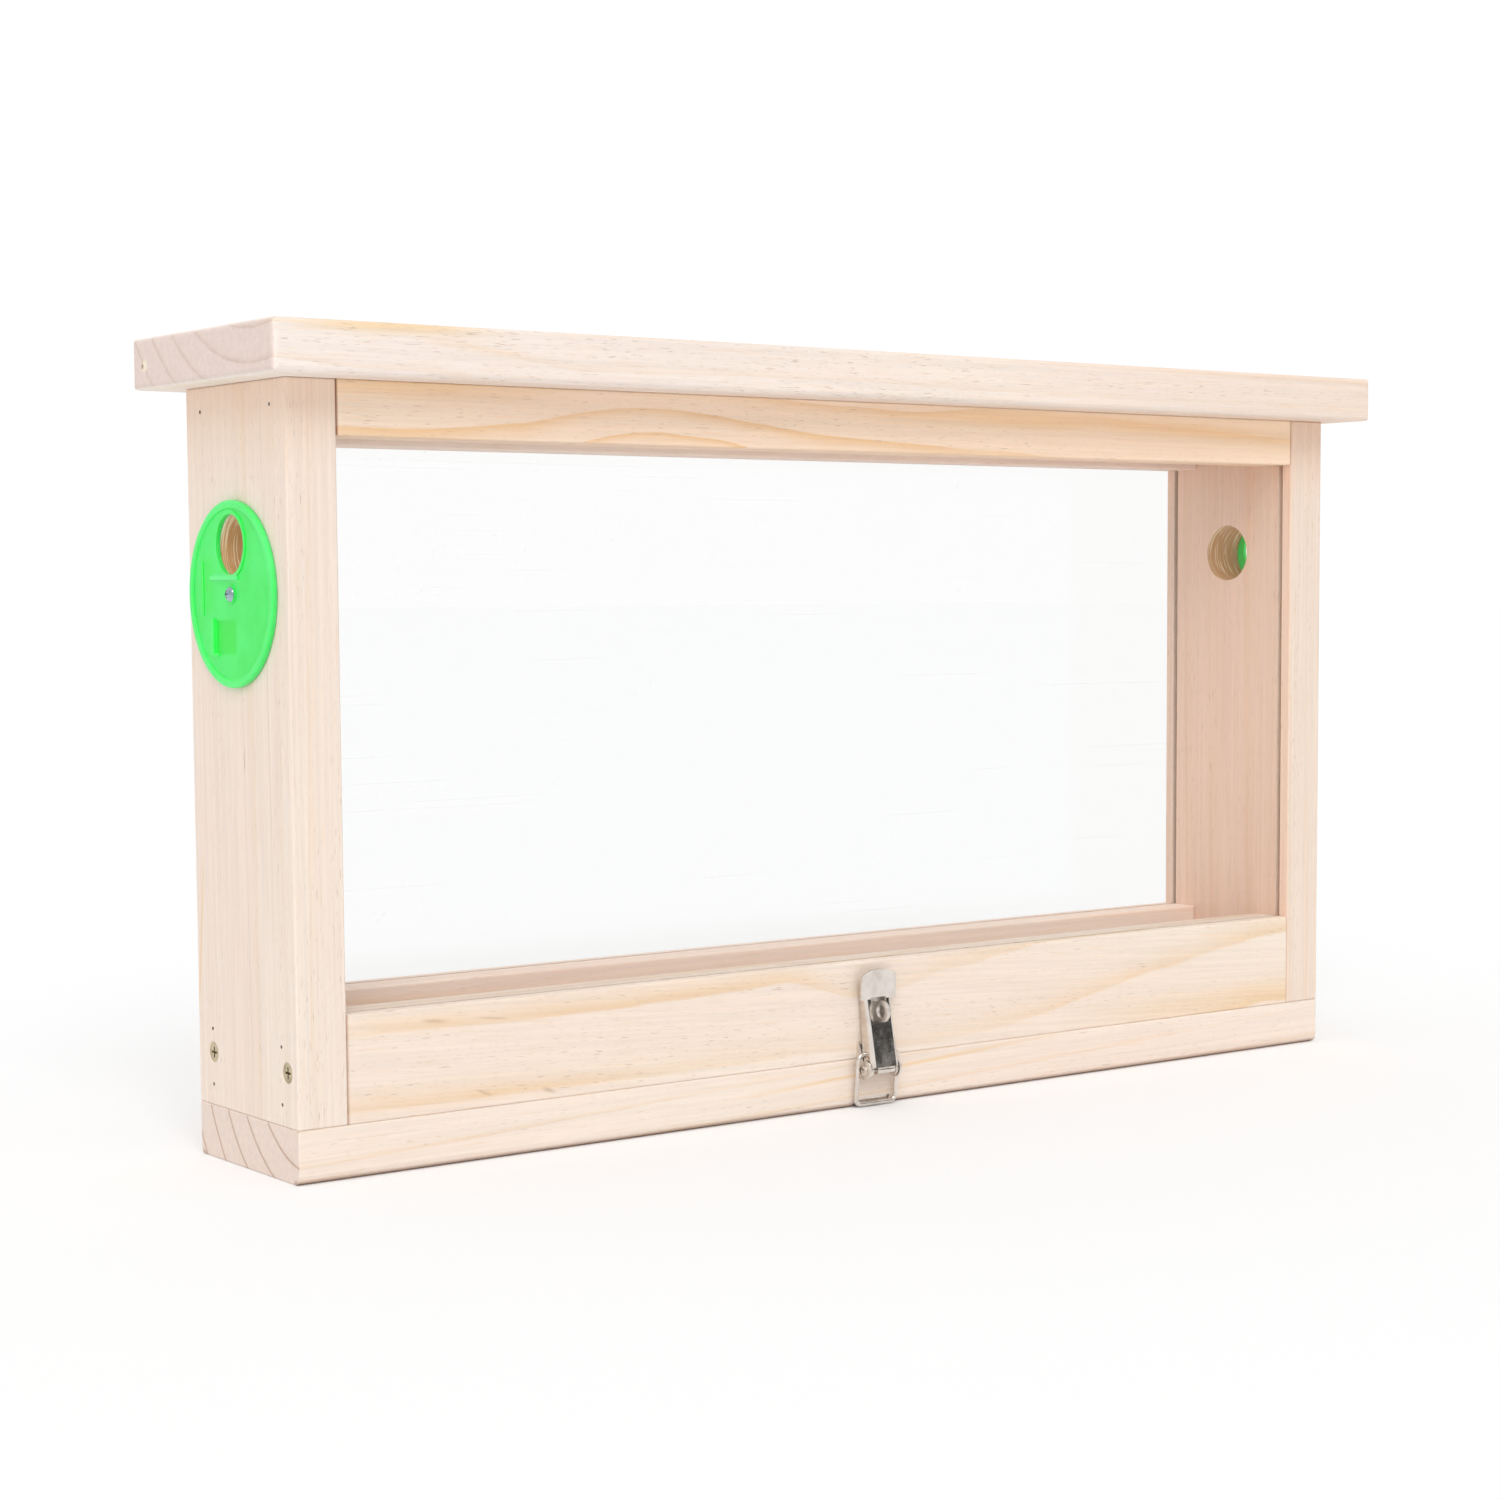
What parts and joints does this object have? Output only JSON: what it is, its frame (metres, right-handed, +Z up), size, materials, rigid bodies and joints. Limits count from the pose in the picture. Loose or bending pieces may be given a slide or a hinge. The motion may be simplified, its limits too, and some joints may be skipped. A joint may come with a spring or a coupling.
{
  "type": "observation hive",
  "caption": "Narrow wooden observation hive for a single comb, with clear panes, rotating entrance discs on its ends and a hinged base board held by a toggle latch.",
  "frame": {"origin": "middle of the base board's underside, on the surface that the hive stands on", "axes": "+X runs along the width towards the right-hand post, the latch side faces -Y, +Z is up"},
  "size_m": [0.552, 0.115, 0.306],
  "materials": {
    "pine": "planed, unvarnished, matt",
    "clear_pane": "clear, polished",
    "green_plastic": "translucent, moulded",
    "nickel_plate": "bright nickel plate",
    "zinc_plate": "zinc plated",
    "dark_steel": "plain wire, darkened",
    "yellow_zinc": "yellow passivated zinc"
  },
  "bodies": {
    "hive_body": {"top_board": "pine", "left_post": "pine", "right_post": "pine", "front_top_rail": "pine", "back_top_rail": "pine", "front_bottom_rail": "pine", "back_bottom_rail": "pine", "front_pane": "clear_pane", "back_pane": "clear_pane", "left_disc_screw": "zinc_plate", "right_disc_screw": "zinc_plate", "post_screws": "yellow_zinc", "post_brads": "dark_steel", "top_brads": "dark_steel", "latch_base_plate": "nickel_plate", "latch_plate_screws": "nickel_plate", "latch_rivet": "nickel_plate", "left_hinge_upper_leaf": "zinc_plate", "right_hinge_upper_leaf": "zinc_plate", "left_hinge_pin": "zinc_plate", "right_hinge_pin": "zinc_plate", "hinge_upper_screws": "zinc_plate"},
    "base": {"base_board": "pine", "latch_keeper": "nickel_plate", "keeper_screws": "nickel_plate", "left_hinge_lower_leaf": "zinc_plate", "right_hinge_lower_leaf": "zinc_plate", "hinge_lower_screws": "zinc_plate"},
    "left_disc": {"left_entrance_disc": "green_plastic"},
    "right_disc": {"right_entrance_disc": "green_plastic"},
    "lever": {"latch_lever": "nickel_plate"},
    "bail": {"latch_bail": "nickel_plate"}
  },
  "joints": [
    {"name": "base_swing", "type": "hinge", "parent": "hive_body", "child": "base", "pos_m": [0, 0.0426, 0.02], "axis": [1, 0, 0], "range_deg": [0, 95]},
    {"name": "left_disc_turn", "type": "hinge", "parent": "hive_body", "child": "left_disc", "pos_m": [-0.263, 0.002, 0.2111], "axis": [-1, 0, 0], "continuous": true},
    {"name": "right_disc_turn", "type": "hinge", "parent": "hive_body", "child": "right_disc", "pos_m": [0.263, -0.002, 0.2111], "axis": [1, 0, 0], "continuous": true},
    {"name": "lever_turn", "type": "hinge", "parent": "hive_body", "child": "lever", "pos_m": [-0.0017, -0.0452, 0.0158], "axis": [1, 0, 0], "range_deg": [0, 150]},
    {"name": "bail_turn", "type": "hinge", "parent": "lever", "child": "bail", "pos_m": [-0.0017, -0.04394, 0.02228], "axis": [1, 0, 0], "range_deg": [-150, 0]}
  ],
  "couplings": [
    {"joint": "bail_turn", "follows": "lever_turn", "ratio": -1}
  ]
}
